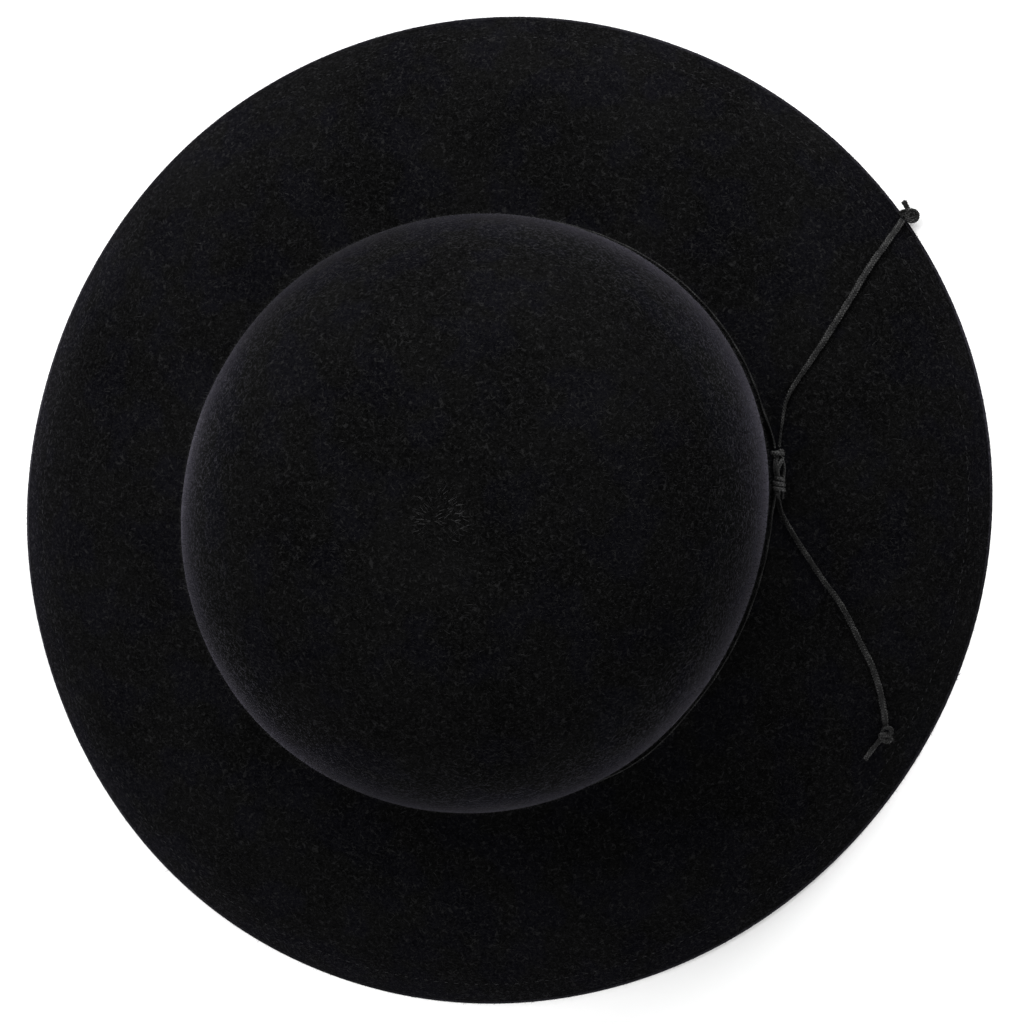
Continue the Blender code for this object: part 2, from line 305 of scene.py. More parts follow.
def crown_axis():
    """Place of the crown's axis: the middle of the brim's box is the origin."""
    directions = [2 * pi * i / HAT_SEGMENTS for i in range(HAT_SEGMENTS)]
    xs = [brim_radius(HAT, a) * cos(a) for a in directions]
    ys = [brim_radius(HAT, a) * sin(a) for a in directions]
    return Vector((-(min(xs) + max(xs)) / 2, -(min(ys) + max(ys)) / 2, 0.0))


CROWN_AXIS = crown_axis()


def brim_place(direction, share):
    """Point on the brim's upper face, or on the level of its edge past that."""
    start = brim_start(HAT, direction)
    radius = start + (brim_radius(HAT, direction) - start) * share
    height = brim_height(HAT, direction, min(share, 1.0)) if share < 1 else 0.0
    return CROWN_AXIS + Vector((radius * cos(direction), radius * sin(direction), height))


def brim_normal(direction, share):
    if share >= 1:
        return Vector((0, 0, 1))
    farther = brim_place(direction, min(share + SLOPE_PROBE, 0.9999))
    across = farther - brim_place(direction, max(share - SLOPE_PROBE, 0))
    along = brim_place(direction + SLOPE_PROBE, share) - brim_place(direction - SLOPE_PROBE, share)
    return across.cross(along).normalized()


def lay(direction, share, clearance):
    """Point at a clearance above the brim, or above the surface that the hat stands on past its edge."""
    point = brim_place(direction, share) + brim_normal(direction, share) * clearance
    point.z = max(point.z, clearance)
    return point


def smooth(points, share):
    """Point at a share of the way along a smooth curve through the points."""
    spans = len(points) - 1
    span = min(int(share * spans), spans - 1)
    t = share * spans - span
    a, b, c, d = points[max(span - 1, 0)], points[span], points[span + 1], points[min(span + 2, spans)]
    return Vector(
        0.5 * (2 * q + (r - p) * t + (2 * p - 5 * q + 4 * r - s) * t * t + (3 * q - p - 3 * r + s) * t ** 3)
        for p, q, r, s in zip(a, b, c, d)
    )


# Geometry trees and the pieces that they make

def geometry_tree(name, sizes):
    """Empty geometry tree with named inputs: lengths and numbers, or a whole number for a seed."""
    group = bpy.data.node_groups.new(name, "GeometryNodeTree")
    group.interface.new_socket("Geometry", in_out="INPUT", socket_type="NodeSocketGeometry")
    group.interface.new_socket("Geometry", in_out="OUTPUT", socket_type="NodeSocketGeometry")
    for size, value in sizes.items():
        kind = "NodeSocketInt" if isinstance(value, int) else "NodeSocketFloat"
        group.interface.new_socket(size, in_out="INPUT", socket_type=kind)
    tree = Tree(group)
    return tree, tree.make("NodeGroupInput")


def finished(tree, geometry, finish, *others):
    """End of every tree: instances made real, smooth faces, the piece's material and others where they go."""
    real = tree.make("GeometryNodeRealizeInstances", None, {0: geometry})
    soft = tree.make("GeometryNodeSetShadeSmooth", None, {0: real})
    coated = tree.make("GeometryNodeSetMaterial", None, {0: soft, "Material": finish})
    for where, other in others:
        sockets = {0: coated, "Selection": where, "Material": other}
        coated = tree.make("GeometryNodeSetMaterial", None, sockets)
    tree.make("NodeGroupOutput", None, {0: coated})


def grow(name, mesh, tree, sizes, body="root"):
    """Piece that a geometry tree makes from a mesh, as a plain mesh that rides on a body."""
    piece = bpy.data.objects.new(name, mesh)
    bpy.context.scene.collection.objects.link(piece)
    modifier = piece.modifiers.new(tree.nodes.name, "NODES")
    modifier.node_group = tree.nodes
    for item in tree.nodes.interface.items_tree:
        if item.in_out == "INPUT" and item.name in sizes:
            modifier[item.identifier] = sizes[item.name]
    graph = bpy.context.evaluated_depsgraph_get()
    made = bpy.data.meshes.new_from_object(
        piece.evaluated_get(graph), preserve_all_data_layers=True, depsgraph=graph,
    )
    piece.modifiers.remove(modifier)
    piece.data = made
    made.name = name
    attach(piece, body)
    return piece


def felt_tree(finish, brim_finish, cut_finish, sizes):
    """Crown and brim as one sheet of felt, its outside and its inside joined along the cut edge."""
    tree, given = geometry_tree("blocked felt", sizes)
    hat = SimpleNamespace(
        crown_radius=given.also("Head circumference") / (2 * pi) + given.also("Felt thickness"),
        crown_height=given.also("Crown height"),
        brim_width=given.also("Brim width"),
        brim_drop=given.also("Brim drop"),
    )
    last = CROWN_ROWS + BREAK_ROWS + BRIM_ROWS
    grid = tree.make("GeometryNodeMeshGrid", None, {
        "Size X": 1.0, "Size Y": 1.0, "Vertices X": DIRECTIONS + 1, "Vertices Y": 2 * last + 2,
    })
    spot = tree.make("ShaderNodeSeparateXYZ", None, {0: tree.make("GeometryNodeInputPosition")})
    direction = (spot + 0.5) * (2 * pi)
    line = ((spot.also("Y") + 0.5) * (2 * last + 1)).math("ROUND")
    inside = line.math("GREATER_THAN", last + 0.5)
    row = at_most(line, 2 * last + 1 - line)
    radius, height, share = felt_section(hat, direction, row)
    nearer = felt_section(hat, direction, row - ROW_PROBE)
    farther = felt_section(hat, direction, row + ROW_PROBE)
    run = farther[0] - nearer[0]
    rise = farther[1] - nearer[1]
    length = (run * run + rise * rise) ** 0.5
    at_edge = row.math("GREATER_THAN", last - 0.5)
    thickness = given.also("Felt thickness")
    inward = (1 - at_edge) * rise / length - at_edge / sin(SLOPE_AT_EDGE)
    away = cosine(direction), sine(direction)
    place = tree.point(away[0] * radius, away[1] * radius, height)
    lumps = tree.make("ShaderNodeTexNoise", None, {"Vector": place, "Scale": 48.0, "Detail": 2.0})
    proud = (lumps - 0.5) * given.also("Unevenness") * 2 * (1 - share ** 6)
    radius = radius + inward * thickness * inside - rise / length * proud
    height = height - (1 - at_edge) * run / length * thickness * inside + run / length * proud
    centre = tree.point(CROWN_AXIS.x, CROWN_AXIS.y, 0.0)
    place = tree.vector("ADD", tree.point(away[0] * radius, away[1] * radius, height), centre)
    felt = tree.stored(tree.stored(grid, "outside", 1 - inside), "brim_share", share)
    felt = tree.make("GeometryNodeSetPosition", None, {"Geometry": felt, "Position": place})
    closed = tree.make("GeometryNodeMergeByDistance", None, {"Geometry": felt, "Distance": 2e-6})
    share = tree.attribute("brim_share")
    brim = share.math("GREATER_THAN", BRIM_FINISH_START), brim_finish
    edge = share.math("GREATER_THAN", CUT_FINISH_START), cut_finish
    finished(tree, tree.make("GeometryNodeFlipFaces", None, {0: closed}), finish, brim, edge)
    return tree


def nap_tree(finish, sizes):
    """Short fibres that stand out of the felt, each a tapered ribbon that bends as it rises."""
    tree, given = geometry_tree("raised nap", sizes)
    share = tree.attribute("brim_share")
    place = tree.make("GeometryNodeInputPosition")
    from_tip = tree.vector("SUBTRACT", place, CROWN_AXIS + SWIRL_SHIFT)
    level = tree.vector("MULTIPLY", from_tip, (1, 1, 0))
    reach = tree.vector("LENGTH", level, output="Value")
    wanted = share.math("GREATER_THAN", given.also("From share"))
    wanted = wanted * share.math("LESS_THAN", given.also("To share"))
    wanted = wanted * reach.math("LESS_THAN", given.also("Reach")) * tree.attribute("outside")
    patches = tree.make("ShaderNodeTexNoise", None, {"Vector": place, "Scale": 90.0, "Detail": 3.0})
    facing_up = tree.make("ShaderNodeSeparateXYZ", None, {0: tree.make("GeometryNodeInputNormal")}).also("Z")
    thinner = given.also("Thinner on slopes")
    kept = facing_up * facing_up * thinner + (1 - thinner)
    density = given.also("Density") * wanted * (patches * 1.6 + 0.2) * kept
    seed = given.also("Seed")
    roots = tree.make("GeometryNodeDistributePointsOnFaces", None, {
        "Mesh": given, "Density": density, "Seed": seed,
    })
    radial = tree.vector("SCALE", tree.vector("NORMALIZE", level), given.also("Radial"))
    lean = tree.vector("NORMALIZE", tree.random((-1, -1, -1), (1, 1, 1), seed + 1, "FLOAT_VECTOR"))
    stand = given.also("Stand") * tree.random(0.15, 1.0, seed + 2)
    upright = tree.vector("SCALE", roots.also("Normal"), stand)
    aim = tree.vector("ADD", tree.vector("ADD", lean, radial), upright)
    turned = tree.make("FunctionNodeAlignRotationToVector", {"axis": "Z"}, {"Vector": aim})
    size = tree.random(0.35, 1.0, seed + 3)
    curl = tree.random(-1.0, 1.0, seed + 4) * given.also("Curl") * size
    width = given.also("Width") * tree.random(0.6, 1.2, seed + 5)
    scale = tree.point(curl, width, given.also("Length") * size)
    strip = tree.make("GeometryNodeMeshGrid", None, {
        "Size X": 1.0, "Size Y": 1.0, "Vertices X": 2, "Vertices Y": given.also("Rows"),
    })
    spot = tree.make("ShaderNodeSeparateXYZ", None, {0: place})
    up = spot.also("Y") + 0.5
    blade = tree.point(up * up, spot * (1 - up * up), up)
    ribbon = tree.make("GeometryNodeSetPosition", None, {"Geometry": strip, "Position": blade})
    ribbon = tree.make("GeometryNodeMergeByDistance", None, {"Geometry": ribbon, "Distance": 1e-4})
    fibres = tree.make("GeometryNodeInstanceOnPoints", None, {
        "Points": roots, "Instance": ribbon, "Rotation": turned, "Scale": scale,
    })
    finished(tree, fibres, finish)
    return tree


def braid_tree(finish, sizes):
    """Flat braid along each line of a mesh: yarns that pass over and under each other round a core."""
    tree, given = geometry_tree("flat braid", sizes)
    width, thickness, yarn = given.also("Width"), given.also("Thickness"), given.also("Yarn width")
    across = tree.attribute("across", "FLOAT_VECTOR")
    lines = tree.make("GeometryNodeMeshToCurve", None, {"Mesh": given})
    even = tree.make("GeometryNodeResampleCurve", {"mode": "LENGTH"}, {
        "Curve": lines, "Length": given.also("Spacing"),
    })
    yarns = tree.make("GeometryNodeDuplicateElements", {"domain": "SPLINE"}, {
        "Geometry": even, "Amount": YARNS,
    })
    kept = tree.stored(yarns, "yarn", yarns.also("Duplicate Index"), "CURVE")
    index = tree.attribute("yarn")
    hand = 1 - index.math("MODULO", 2) * 2
    lane = (index / 2).math("FLOOR")
    along = tree.make("GeometryNodeSplineParameter", output="Length")
    turn = hand * along / given.also("Pitch") * (2 * pi) + lane * (pi / 2)
    rise = hand * cosine(turn * 4)
    weave = rise * given.also("Weave")
    kept = tree.stored(tree.stored(kept, "rise", rise), "middle", sine(turn) ** 2)
    half_width = (width * tree.vector("LENGTH", across, output="Value") - yarn) / 2
    half_thickness = (thickness - given.also("Yarn thickness") * 2) / 2
    right, front = cosine(turn), sine(turn)
    face_x, face_z = right * half_thickness, front * half_width
    length = (face_x * face_x + face_z * face_z) ** 0.5
    x = right * half_width + face_x / length * weave
    z = front * half_thickness * (1 - front * front * given.also("Groove")) + face_z / length * weave
    tangent = tree.make("GeometryNodeInputTangent")
    out = tree.vector("NORMALIZE", tree.vector("CROSS_PRODUCT", tangent, across))
    side = tree.vector("CROSS_PRODUCT", out, tangent)

    def mixed(first, second):
        return tree.vector("ADD", tree.vector("SCALE", side, first), tree.vector("SCALE", out, second))

    face = mixed(face_x / length, face_z / length)
    moved = tree.make("GeometryNodeSetPosition", None, {"Geometry": kept, "Offset": mixed(x, z)})
    faced = tree.make("GeometryNodeSetCurveNormal", {"mode": "FREE"}, {"Curve": moved, "Normal": face})
    straight = tree.make("GeometryNodeSetCurveNormal", {"mode": "FREE"}, {"Curve": even, "Normal": out})

    def section(thick, wide):
        circle = tree.make("GeometryNodeCurvePrimitiveCircle", None, {
            "Resolution": YARN_SIDES, "Radius": 0.5,
        })
        return tree.make("GeometryNodeTransform", None, {
            "Geometry": circle, "Scale": tree.point(thick, wide, 1.0),
        })

    def sweep(curve, profile):
        return tree.make("GeometryNodeCurveToMesh", None, {
            "Curve": curve, "Profile Curve": profile, "Fill Caps": True,
        })

    round_yarn = tree.make("GeometryNodeSplineParameter") * (2 * pi)
    yarn_section = tree.stored(section(given.also("Yarn thickness"), yarn), "outer", cosine(round_yarn))
    swept = sweep(faced, yarn_section)
    core = sweep(straight, section(thickness * 0.6, width * 0.74))
    finished(tree, tree.make("GeometryNodeJoinGeometry", None, {0: [swept, core]}), finish)
    return tree


def stitch_tree(finish, sizes):
    """Row of small stitches along a line that lies on the felt."""
    tree, given = geometry_tree("row of stitches", sizes)
    line = tree.make("GeometryNodeMeshToCurve", None, {"Mesh": given})
    spots = tree.make("GeometryNodeCurveToPoints", {"mode": "LENGTH"}, {
        "Curve": line, "Length": given.also("Spacing"),
    })
    turned = tree.make("FunctionNodeAlignRotationToVector", {"axis": "X"}, {"Vector": spots.also("Tangent")})
    bead = tree.make("GeometryNodeMeshUVSphere", None, {"Segments": 6, "Rings": 5, "Radius": 0.5})
    thread = given.also("Thread")
    long = given.also("Stitch length") * tree.random(0.7, 1.15, given.also("Seed"))
    stitches = tree.make("GeometryNodeInstanceOnPoints", None, {
        "Points": spots, "Instance": bead, "Rotation": turned, "Scale": tree.point(long, thread, thread),
    })
    finished(tree, stitches, finish)
    return tree


def line_mesh(name, lines):
    """Mesh of open lines, each a list of points and width directions, for the braid to follow."""
    mesh = bpy.data.meshes.new(name)
    points = [point for line in lines for point, _ in line]
    edges = []
    first = 0
    for line in lines:
        edges += [(first + i, first + i + 1) for i in range(len(line) - 1)]
        first += len(line)
    mesh.from_pydata(points, edges, [])
    across = mesh.attributes.new("across", "FLOAT_VECTOR", "POINT")
    for value, direction in zip(across.data, (direction for line in lines for _, direction in line)):
        value.vector = direction
    return mesh


# The lie of the cord

def evenly(points, spacing):
    """Points along the same line, a spacing apart."""
    kept = [points[0]]
    for point in points[1:-1]:
        if (point - kept[-1]).length >= spacing:
            kept.append(point)
    if (points[-1] - kept[-1]).length < spacing / 2 and len(kept) > 1:
        kept.pop()
    return kept + [points[-1]]


def tail_line(route, rolls, length):
    """Line of a free end over the brim, with the direction of the cord's width, which rolls as it goes."""
    clearance = CORD_DIAMETER / 2 + CORD_GAP
    stations = [Vector((*pair, 0)) for pair in route]
    line = []
    travelled = 0.0
    for step in range(TAIL_STEPS + 1):
        direction, share = smooth(stations, step / TAIL_STEPS)[:2]
        point = lay(direction, share, clearance)
        if line:
            travelled += (point - line[-1][0]).length
        line.append((point, brim_normal(direction, share), travelled))
    line = [entry for entry in line if entry[2] <= length]
    wide = []
    for index, (point, normal, travelled) in enumerate(line):
        ahead = line[min(index + 1, len(line) - 1)][0] - line[max(index - 1, 0)][0]
        level = normal.cross(ahead).normalized()
        share = travelled / length * (len(rolls) - 1)
        before = min(int(share), len(rolls) - 2)
        roll = rolls[before] + (rolls[before + 1] - rolls[before]) * (share - before)
        wide.append((point, level * cos(roll) + normal * sin(roll)))
    return wide


def thinned(line, spacing):
    """The entries of a line that lie a spacing apart."""
    points = evenly([point for point, _ in line], spacing)
    return [min(line, key=lambda entry: (entry[0] - point).length) for point in points]


def band_line():
    """The cord round the crown, on edge against the wall, from the top of the tied knot round to its foot."""
    line = []
    for step in range(BAND_STEPS + 1):
        direction = KNOT_TOP + (KNOT_FOOT + TUCK + 2 * pi - KNOT_TOP) * step / BAND_STEPS
        share = sum(amount * window(direction, middle, half) for middle, half, amount in BAND_SLACK)
        if step > BAND_STEPS / 2:
            share += TUCK_SHARE * window(direction, KNOT_FOOT + TUCK, TUCK * 0.8)
        normal = brim_normal(direction, max(share, 0.002))
        line.append((lay(direction, share, CORD_WIDTH / 2 + CORD_GAP), normal))
    return line


def with_width(points, widths, slim=1.0):
    """Points paired with directions of the cord's width, square to the line and as long as slim says."""
    line = []
    for index, point in enumerate(points):
        ahead = (points[min(index + 1, len(points) - 1)] - points[max(index - 1, 0)]).normalized()
        width = widths[index] if isinstance(widths, list) else widths
        line.append((point, (width - ahead * width.dot(ahead)).normalized() * slim))
    return line


def through(stations, count):
    """Smooth line of so many points through the stations."""
    return [smooth(stations, step / (count - 1)) for step in range(count)]


def tied_knot_lines():
    """Cord of the tied knot: two strands that bow apart, one that crosses them, and turns at both ends."""
    width = CORD_DIAMETER * KNOT_WIDTH
    top = lay(KNOT_TOP, KNOT_SHARE, width / 2 + CORD_GAP)
    foot = lay(KNOT_FOOT, KNOT_SHARE, width / 2 + CORD_GAP)
    middle = (top + foot) / 2
    up = (lay(KNOT_TOP, KNOT_SHARE, width) - lay(KNOT_TOP, KNOT_SHARE, 0)).normalized()
    axis = (top - foot).normalized()
    outward = axis.cross(up).normalized()

    def at(along, out, above=0.0):
        return middle + (axis * along + outward * out + up * above) * MILLIMETRE

    def turns(centre, out, radius, height, count, lift, lead):
        """Turns of cord round the strands, on edge round them, with the start and the end tucked in."""
        points = []
        steps = int(STEPS_PER_TURN * count)
        for step in range(steps + 1):
            share = step / steps
            angle = 2 * pi * count * share + lead
            tuck = 1 - 0.35 * max(0.0, 1 - min(share, 1 - share) * count * 3)
            along = centre + height * (share - 0.5)
            points.append(at(along, out + radius * tuck * cos(angle), lift * tuck * sin(angle)))
        return with_width(points, axis, 0.8)

    inner = [at(7.0, -0.9, -0.3), at(6.0, -0.9), at(4.4, -1.2, 0.5), at(1.6, -1.75, 0.6), at(-1.3, -1.2, 0.3),
             at(-5, -0.9), at(-8.2, -1.2, -0.6)]
    outer = [at(7.0, -0.1, -0.3), at(6.0, -0.1), at(4.4, 0.65, 0.4), at(1.5, 1.3, 0.2), at(-1.3, 0.95),
             at(-5, 0.5), at(-8.5, 0.4, -0.9)]
    crossing = [at(4.8, 0.9, 0.2), at(3.3, 0.2, 1.1), at(0.9, -1.1, 1.3), at(-1.8, -0.7, 0.8)]
    return [
        with_width(through(inner, 44), outward + up * 0.35, 0.9),
        with_width(through(outer, 44), outward * 0.4 + up, 0.9),
        with_width(through(crossing, 20), outward + up * 0.2, 0.8),
        turns(6.15, -0.5, 1.95, 1.5, 1.7, 1.35, pi),
        turns(-4.4, -0.6, 1.7, 5.2, 3.1, 1.45, pi * 0.7),
    ]


def end_knot_lines(middle, normal, lines):
    """Lines of an end knot, each from stations: millimetres to +X and +Y and above what the knot lies on."""

    def at(right, ahead, above):
        level = Vector((right, ahead, -(normal.x * right + normal.y * ahead) / normal.z))
        return middle + (level + normal * above) * MILLIMETRE

    made = []
    for roll, count, stations in lines:
        points = through([at(*station) for station in stations], count)
        steps = [b - a for a, b in zip(points, points[1:])]
        steps.append(steps[-1])
        widths = [normal.lerp(normal.cross(step).normalized(), roll) for step in steps]
        made.append(with_width(points, widths))
    return made


def coil(start, turns, wide, narrow, high, low, per_turn=9):
    """Stations of a coil round the knot's middle: one whole turn, and then inwards."""
    steps = int(turns * per_turn)
    stations = []
    for step in range(steps + 1):
        share = step / steps
        angle = start - 2 * pi * turns * share
        radius = wide + (narrow - wide) * max(0.0, (turns * share - 0.9) / (turns - 0.9))
        stations.append((radius * cos(angle), radius * sin(angle), high + (low - high) * share))
    return stations


# How far the middles of the end knots lie from the ends of their routes
KNOT_SHIFT = {"upper": Vector((0.0018, -0.00155, 0.0)), "lower": Vector((-0.0012, 0.0001, 0.0))}
# Lines of the end knots: how far the cord's width rolls, how many points, and the stations
UPPER_KNOT = (
    (0.3, 24, [(-3.6, -2.7, 0.0), (-2.9, -1.5, 0.2), (-2.3, -0.3, 0.1), (-1.4, 0.7, 0.0), (-0.4, 1.0, 0.0)]),
    (0.5, 120, [(-0.8, 0.4, 0.3), (-2.4, 0.2, 0.9), (-3.7, 0.5, 1.3), (-3.9, 1.1, 1.4), (-3.0, 1.5, 1.3),
                (-1.7, 1.75, 1.4)] + coil(radians(90), 2.6, 1.85, 0.3, 1.5, 1.0)),
    (0.95, 24, [(-0.3, 0.2, -0.2), (-1.2, 1.8, 0.2), (-1.8, 3.0, 0.4), (-2.3, 4.3, 0.5), (-2.6, 5.0, 0.5)]),
    (0.95, 10, [(-2.1, 3.6, 0.3), (-2.55, 4.3, 0.4), (-3.1, 4.9, 0.4)]),
    (0.8, 14, [(-1.0, 0.75, 0.9), (-2.2, 0.85, 1.1), (-3.5, 0.85, 1.15)]),
    (0.8, 16, [(1.0, -0.9, 0.1), (0.2, 0.0, 0.3), (-0.5, 0.8, 0.2)]),
)
LOWER_KNOT = (
    (0.6, 100, [(-0.2, 1.2, 0.0), (-0.1, 2.2, 0.5), (0.6, 2.9, 1.2), (1.5, 2.8, 1.5), (1.95, 2.0, 1.5),
                (1.6, 0.9, 1.2), (0.4, 0.5, 1.1), (-0.8, 0.9, 1.5), (-1.3, 0.1, 1.2), (-0.5, -0.7, 0.7),
                (0.7, -0.1, 1.0), (1.75, -0.4, 1.4), (1.6, -1.4, 1.3), (0.4, -1.7, 1.0), (-0.7, -0.9, 1.3),
                (-1.2, 0.0, 0.9)]),
    (0.8, 40, [(0.5, 0.2, 0.0), (-0.8, -1.4, 0.1), (-2.5, -3.5, 0.0), (-4.3, -5.9, 0.0), (-5.9, -8.0, 0.1)]),
)


def straight_camera():
    """Camera almost straight above the hat, turned a few degrees towards the tied cord."""
    lean_x, lean_y = (sin(angle) for angle in CAMERA_LEAN)
    towards = Vector((lean_x, lean_y, sqrt(1 - lean_x ** 2 - lean_y ** 2)))
    right = Vector((0, 1, 0)).cross(towards).normalized()
    data = bpy.data.cameras.new("camera above the hat")
    data.sensor_width = 36
    data.lens = CAMERA_LENS
    data.shift_x, data.shift_y = CAMERA_SHIFT
    data.clip_end = 20
    camera = bpy.data.objects.new("camera above the hat", data)
    bpy.context.scene.collection.objects.link(camera)
    turned = Matrix((right, towards.cross(right), towards)).transposed().to_4x4()
    camera.matrix_world = Matrix.Translation(CAMERA_AIM + towards * CAMERA_DISTANCE) @ turned
    bpy.context.scene.camera = camera


def plain_material(name, colour, roughness, **settings):
    """Material with one shader; the settings are sockets that are the same all over the surface."""
    made = bpy.data.materials.new(name)
    made.use_nodes = True
    shader = made.node_tree.nodes["Principled BSDF"]
    shader.inputs["Base Color"].default_value = (*colour, 1)
    shader.inputs["Roughness"].default_value = roughness
    for socket, value in settings.items():
        shader.inputs[socket.replace("_", " ").title().replace("Ior", "IOR")].default_value = value
    return made, Tree(made.node_tree), shader


def between(tree, amount, first, second):
    """Colour that runs from the first to the second as the amount goes from 0 to 1."""
    return tree.make("ShaderNodeMix", {"data_type": "RGBA"}, {"Factor": amount, "A": first, "B": second})


def soft_step(value, low, high):
    """0 at the low value and 1 at the high one, easing between them."""
    sockets = {"Value": value, "From Min": low, "From Max": high}
    return value.tree.make("ShaderNodeMapRange", {"interpolation_type": "SMOOTHSTEP"}, sockets)


def felt_material(name, bloom, spread, depth_of_bumps):
    """Black wool felt: matted fibres, uneven in tone, with a bluish bloom where it turns away; its fibre
    lines are painted lighter, as painted sheen.
    """
    made, tree, shader = plain_material(
        name, (0.002, 0.002, 0.002), 1.0, specular_ior_level=0.0,
        sheen_weight=bloom, sheen_roughness=spread, sheen_tint=(0.84, 0.80, 1.0, 1.0),
    )
    place = tree.make("ShaderNodeTexCoord", output="Object")

    def noise(scale, detail=2.0, distortion=0.0, shift=0.0):
        moved = tree.vector("ADD", place, (shift, shift * 2, -shift)) if shift else place
        sockets = {"Vector": moved, "Scale": scale, "Detail": detail, "Distortion": distortion}
        return tree.make("ShaderNodeTexNoise", None, sockets)

    def fibres(scale, thin, shift):
        """Thin bent lines, broken into short lengths."""
        line = 1 - soft_step((noise(scale, 1.0, 0.6, shift) - 0.5).math("ABSOLUTE"), 0.0, thin)
        return line * soft_step(noise(scale * 1.3, 0.0, 0.0, shift + 3.1), 0.47, 0.62)

    fine = fibres(900.0, 0.10, 0.4)
    coarse = fibres(480.0, 0.045, 1.7)
    grain = noise(1250.0, 2.0)
    clumps = noise(330.0, 2.0, 0.0, 2.0)
    blotches = noise(34.0, 3.0, 0.0, 5.0)
    tone = (grain - 0.5) * 1.4 + (clumps - 0.5) * 0.6 + (blotches - 0.5) * 0.7 + 0.5
    depth = soft_step(tone, 0.0, 1.0)
    neutral = between(tree, depth, (0.0010, 0.0010, 0.0010, 1), (0.0034, 0.0034, 0.0034, 1))
    bluish = between(tree, depth, (0.0010, 0.0010, 0.0014, 1), (0.0034, 0.0034, 0.0043, 1))
    ground = between(tree, soft_step(noise(60.0, 2.0, 0.0, 9.0), 0.46, 0.60), neutral, bluish)
    # The fibre lines are the felt's grain; their lighter colour is painted sheen of the wool.
    lit = between(tree, fine * 0.47, ground, (0.0078, 0.0078, 0.0079, 1))
    lit = between(tree, coarse * 0.54, lit, (0.0138, 0.0138, 0.0140, 1))
    tree.feed(shader.inputs["Base Color"], lit)
    relief = grain * 0.5 + fine * 0.6 + coarse * 0.8
    sockets = {"Strength": depth_of_bumps, "Distance": 0.0003, "Height": relief}
    tree.feed(shader.inputs["Normal"], tree.make("ShaderNodeBump", None, sockets, "Normal"))
    return made


def cord_material(name, light, gloss):
    """Braided cord, lightly waxed: painted shade between and under its yarns and in the groove down its
    middle, painted light on the yarns' crests where they rise, and fine pale specks on those crests.
    """
    made, tree, shader = plain_material(
        name, (0.02, 0.02, 0.02), 0.5, specular_ior_level=gloss,
        sheen_weight=0.01, sheen_roughness=0.5,
    )
    place = tree.make("ShaderNodeTexCoord", output="Object")
    outer, rise, middle = (
        tree.make("ShaderNodeAttribute", {"attribute_name": attribute}, output="Fac")
        for attribute in ("outer", "rise", "middle")
    )
    strands = tree.make("ShaderNodeTexNoise", None, {"Vector": place, "Scale": 4600.0, "Detail": 2.0})
    wax = tree.make("ShaderNodeTexNoise", None, {"Vector": place, "Scale": 700.0, "Detail": 3.0})
    # Painted light and shade: the yarns' outward faces and the places where they rise over others are painted
    # lighter; their inner faces, the sunken places and the groove down the middle are painted darker.
    painted_yarn_light_and_shade = soft_step(outer, -0.2, 1.0) * (soft_step(rise, -0.5, 0.8) * 0.92 + 0.08)
    painted_yarn_light_and_shade = painted_yarn_light_and_shade * (1 - soft_step(middle, 0.80, 0.97) * 0.75)
    # The dark end of this mix is painted shade between the yarns, and the light end is painted light on their
    # crests.
    ground = between(tree, painted_yarn_light_and_shade, (0.0024, 0.0024, 0.0025, 1), (light, light, light * 0.98, 1))
    dulled = (light * 0.42, light * 0.42, light * 0.42, 1)
    pale = (light * 4.2, light * 4.2, light * 4.0, 1)
    worn = between(tree, soft_step(wax, 0.35, 0.7) * 0.4, ground, dulled)
    # The pale specks show only on the crests that are painted light.
    specks = soft_step(strands, 0.58, 0.72) * painted_yarn_light_and_shade
    tree.feed(shader.inputs["Base Color"], between(tree, specks * 0.75, worn, pale))
    tree.feed(shader.inputs["Roughness"], 0.6 - soft_step(wax, 0.4, 0.7) * 0.25)
    sockets = {"Strength": 0.5, "Distance": 0.0001, "Height": strands}
    tree.feed(shader.inputs["Normal"], tree.make("ShaderNodeBump", None, sockets, "Normal"))
    return made


def softbox(name, place, aim_height, size, power):
    """White square light that aims at a height above the middle of the hat."""
    data = bpy.data.lights.new(name, "AREA")
    data.shape = "SQUARE"
    data.size = size
    data.energy = power
    lamp = bpy.data.objects.new(name, data)
    bpy.context.scene.collection.objects.link(lamp)
    lamp.location = place
    aim = Vector((0, 0, aim_height))
    lamp.rotation_euler = (aim - Vector(place)).to_track_quat("-Z", "Y").to_euler()


def studio():
    """Plain pale floor, pale surroundings and soft lights."""
    finish = plain_material("pale studio floor", (0.86, 0.86, 0.86), 0.9)[0]
    mesh = bpy.data.meshes.new("studio floor")
    corners = ((-1, -1), (1, -1), (1, 1), (-1, 1))
    mesh.from_pydata([(x * FLOOR_REACH, y * FLOOR_REACH, 0) for x, y in corners], [], [(0, 1, 2, 3)])
    mesh.materials.append(finish)
    floor = bpy.data.objects.new("studio floor", mesh)
    bpy.context.scene.collection.objects.link(floor)
    world = bpy.data.worlds.new("pale room")
    world.use_nodes = True
    background = world.node_tree.nodes["Background"]
    background.inputs["Color"].default_value = (1, 1, 1, 1)
    background.inputs["Strength"].default_value = ROOM_STRENGTH
    bpy.context.scene.world = world
    bpy.context.scene.view_settings.view_transform = "Standard"
    for name, settings in SOFTBOXES.items():
        softbox(name, *settings)


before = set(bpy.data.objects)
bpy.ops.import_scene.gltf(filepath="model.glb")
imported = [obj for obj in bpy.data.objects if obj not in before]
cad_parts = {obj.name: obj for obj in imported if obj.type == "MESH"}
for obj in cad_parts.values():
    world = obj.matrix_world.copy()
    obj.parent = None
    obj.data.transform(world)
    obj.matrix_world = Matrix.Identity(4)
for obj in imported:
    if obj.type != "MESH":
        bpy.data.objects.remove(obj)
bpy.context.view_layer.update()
straight_camera()
studio()

